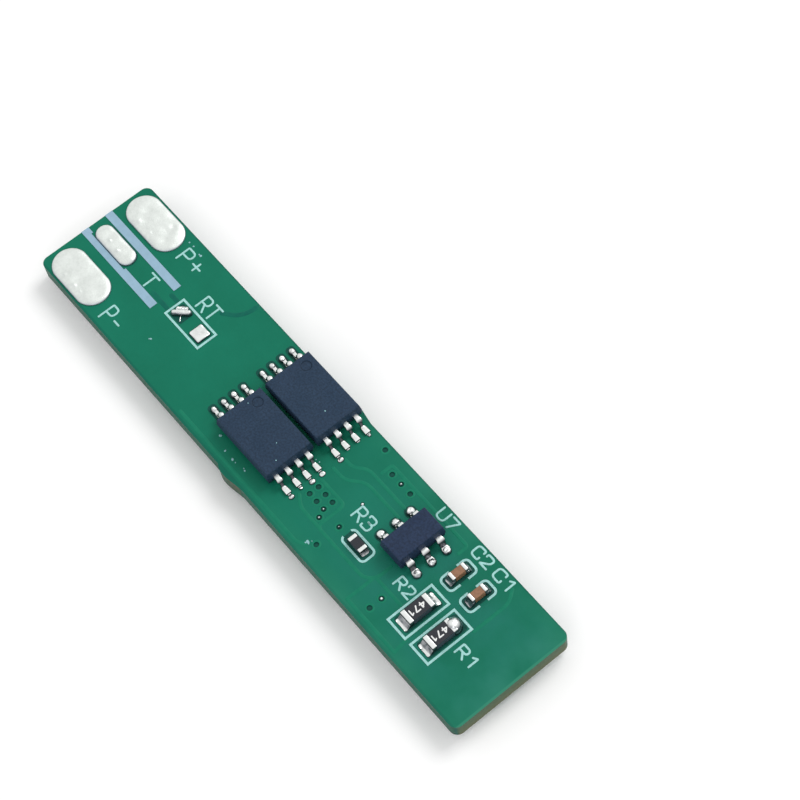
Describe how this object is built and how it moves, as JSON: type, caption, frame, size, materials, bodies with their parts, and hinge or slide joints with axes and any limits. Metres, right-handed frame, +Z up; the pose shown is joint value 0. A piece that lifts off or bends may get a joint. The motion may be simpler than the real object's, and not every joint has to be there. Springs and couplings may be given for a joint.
{
  "type": "battery management board",
  "caption": "Slim battery protection circuit board with tinned wire lands, moulded transistors, a control chip, chip parts and flat nickel weld tabs on its underside.",
  "frame": {"origin": "middle of the board at the lower faces of the nickel tabs, which the board stands on", "axes": "+X along the board from the output lands to the component end, +Y across it towards the positive output, +Z up out of the component face"},
  "size_m": [0.035, 0.0076, 0.0026],
  "materials": {
    "solder_mask": "green solder mask over copper and glass fibre, semi-gloss",
    "solder": "tin solder, bright, uneven",
    "nickel": "nickel strip, satin",
    "package_epoxy": "moulded epoxy, blue-black, fine matt grain",
    "lead_metal": "tin-plated lead frame",
    "alumina": "white alumina",
    "resistor_glaze": "black overcoat glass",
    "capacitor_ceramic": "brown sintered ceramic, satin",
    "legend_ink": "white legend ink"
  },
  "bodies": {
    "root": {"board": "solder_mask", "p_plus_pad": "solder", "p_minus_pad": "solder", "t_pad": "solder", "rt_solder": "solder", "legend_strips": "legend_ink", "part_outlines": "legend_ink", "q1_body": "package_epoxy", "q1_leads": "lead_metal", "q1_solder": "solder", "q2_body": "package_epoxy", "q2_leads": "lead_metal", "q2_solder": "solder", "u7_body": "package_epoxy", "u7_leads": "lead_metal", "u7_solder": "solder", "r1_core": "alumina", "r1_coat": "resistor_glaze", "r1_terminals": "solder", "r1_solder": "solder", "r2_core": "alumina", "r2_coat": "resistor_glaze", "r2_terminals": "solder", "r2_solder": "solder", "r3_core": "alumina", "r3_coat": "resistor_glaze", "r3_terminals": "solder", "r3_solder": "solder", "c1_body": "capacitor_ceramic", "c1_terminals": "solder", "c1_solder": "solder", "c2_body": "capacitor_ceramic", "c2_terminals": "solder", "c2_solder": "solder", "b_plus_tab": "nickel", "b_plus_solder": "solder", "b_minus_tab": "nickel", "b_minus_solder": "solder", "bm1_tab": "nickel", "bm1_solder": "solder", "bm2_tab": "nickel", "bm2_solder": "solder"}
  },
  "joints": []
}
